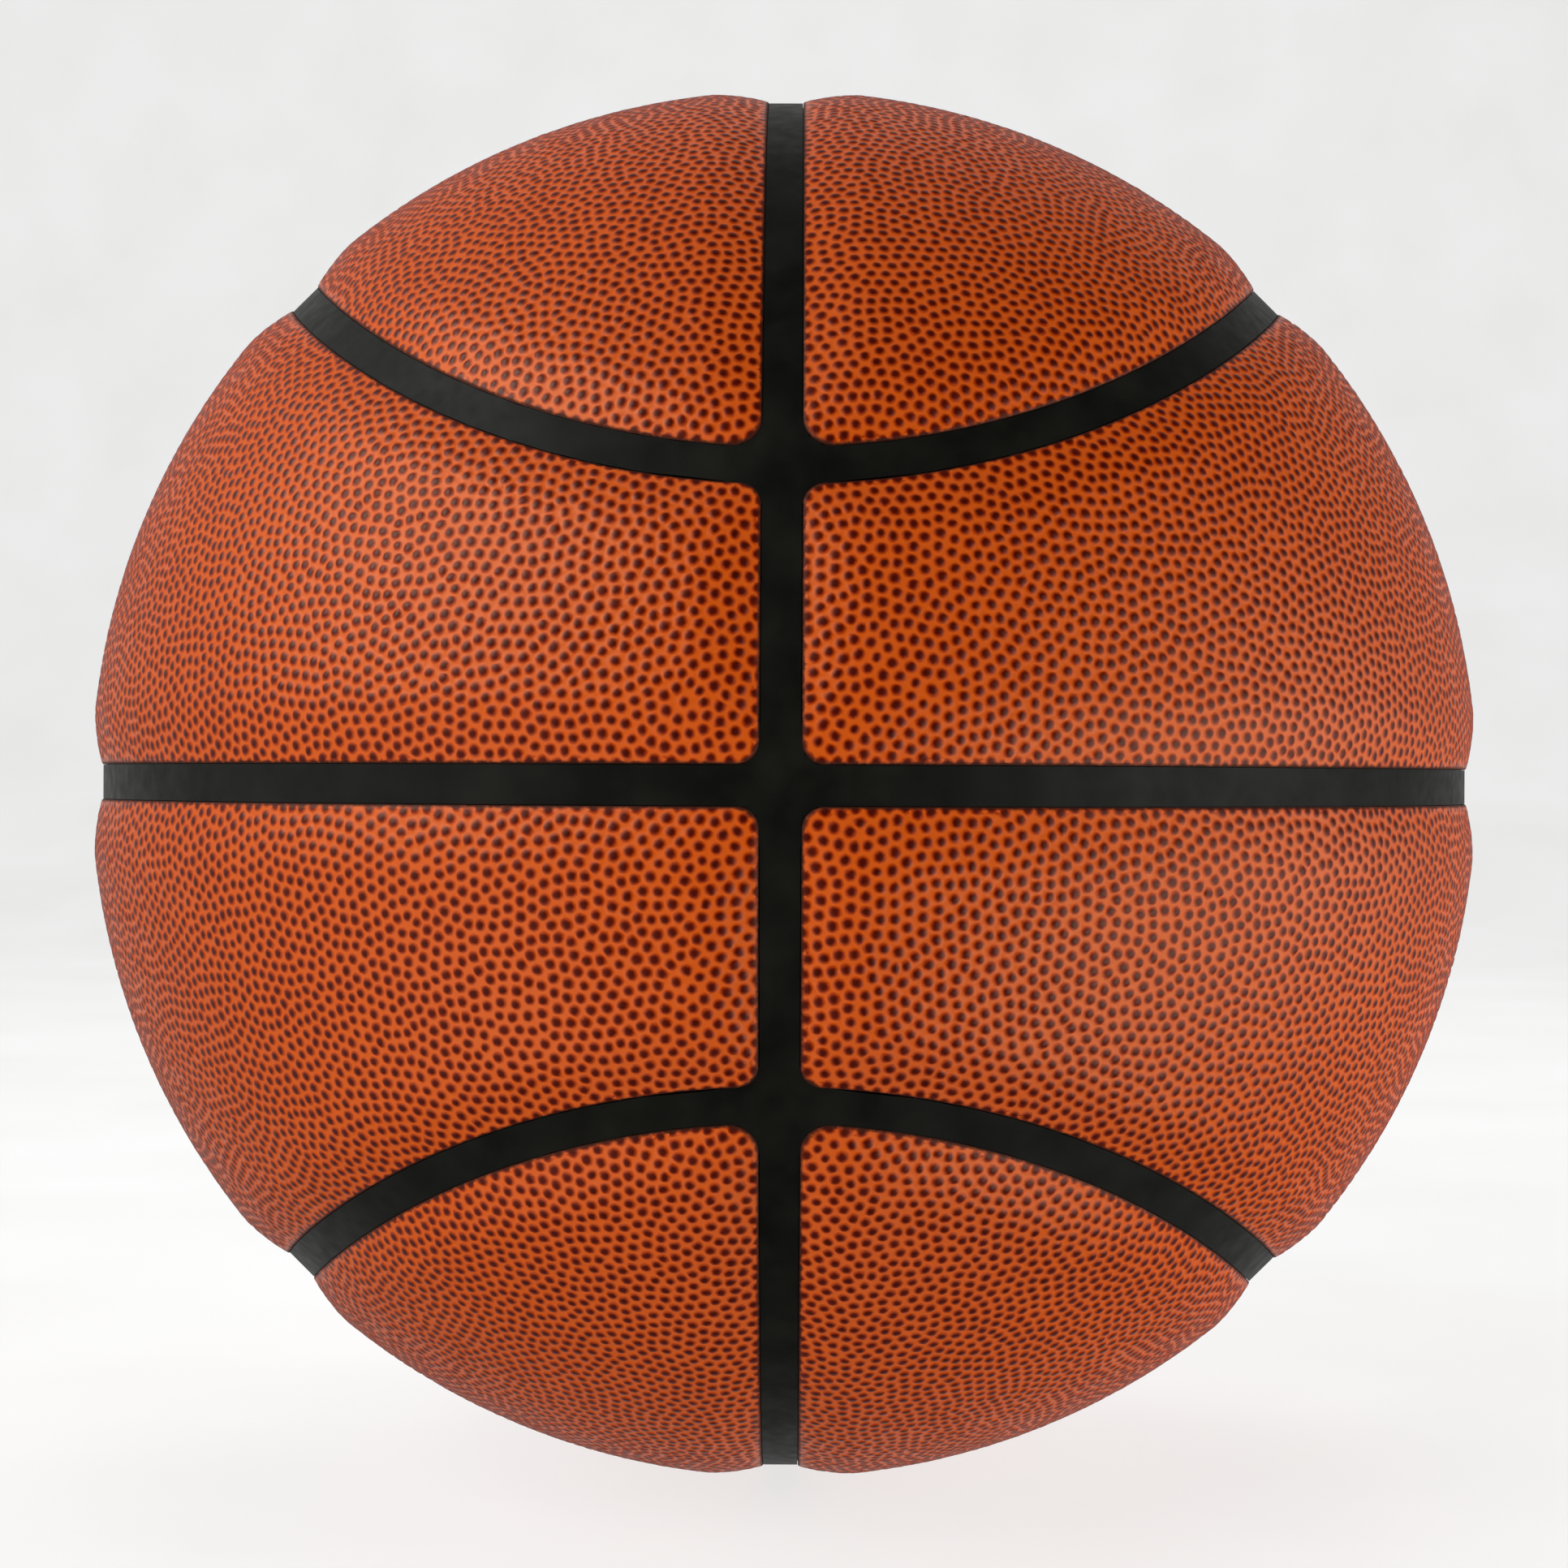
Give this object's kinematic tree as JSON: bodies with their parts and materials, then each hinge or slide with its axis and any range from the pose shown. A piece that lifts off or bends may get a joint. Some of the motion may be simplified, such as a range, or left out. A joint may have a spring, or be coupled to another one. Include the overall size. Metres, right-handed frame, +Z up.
{
  "type": "basketball",
  "caption": "Round inflatable ball with pebbled orange cover panels, black channels between them, a valve, and the bladder, wound thread, carcass and pads inside.",
  "frame": {"origin": "centre of the ball", "axes": "+Z up, -Y towards the crossing of the level and upright seams that faces the viewer, +X to the viewer's right; the valve is on the far side"},
  "size_m": [0.2212, 0.2198, 0.2212],
  "materials": {
    "cover": "pebbled satin",
    "channel_rubber": "satin",
    "sponge": "matt sponge",
    "bladder_rubber": "smooth satin",
    "valve_rubber": "satin",
    "core_rubber": "matt",
    "thread": "fine wound thread"
  },
  "bodies": {
    "root": {"bladder": "bladder_rubber", "valve_body": "valve_rubber", "valve_core": "core_rubber", "thread_winding": "thread", "carcass": "channel_rubber", "top_pad_right": "sponge", "top_pad_left": "sponge", "bottom_pad_right": "sponge", "bottom_pad_left": "sponge", "upper_side_pad_right": "sponge", "upper_side_pad_left": "sponge", "lower_side_pad_right": "sponge", "lower_side_pad_left": "sponge", "top_panel_right": "cover", "top_panel_left": "cover", "bottom_panel_right": "cover", "bottom_panel_left": "cover", "upper_side_panel_right": "cover", "upper_side_panel_left": "cover", "lower_side_panel_right": "cover", "lower_side_panel_left": "cover"}
  },
  "joints": []
}
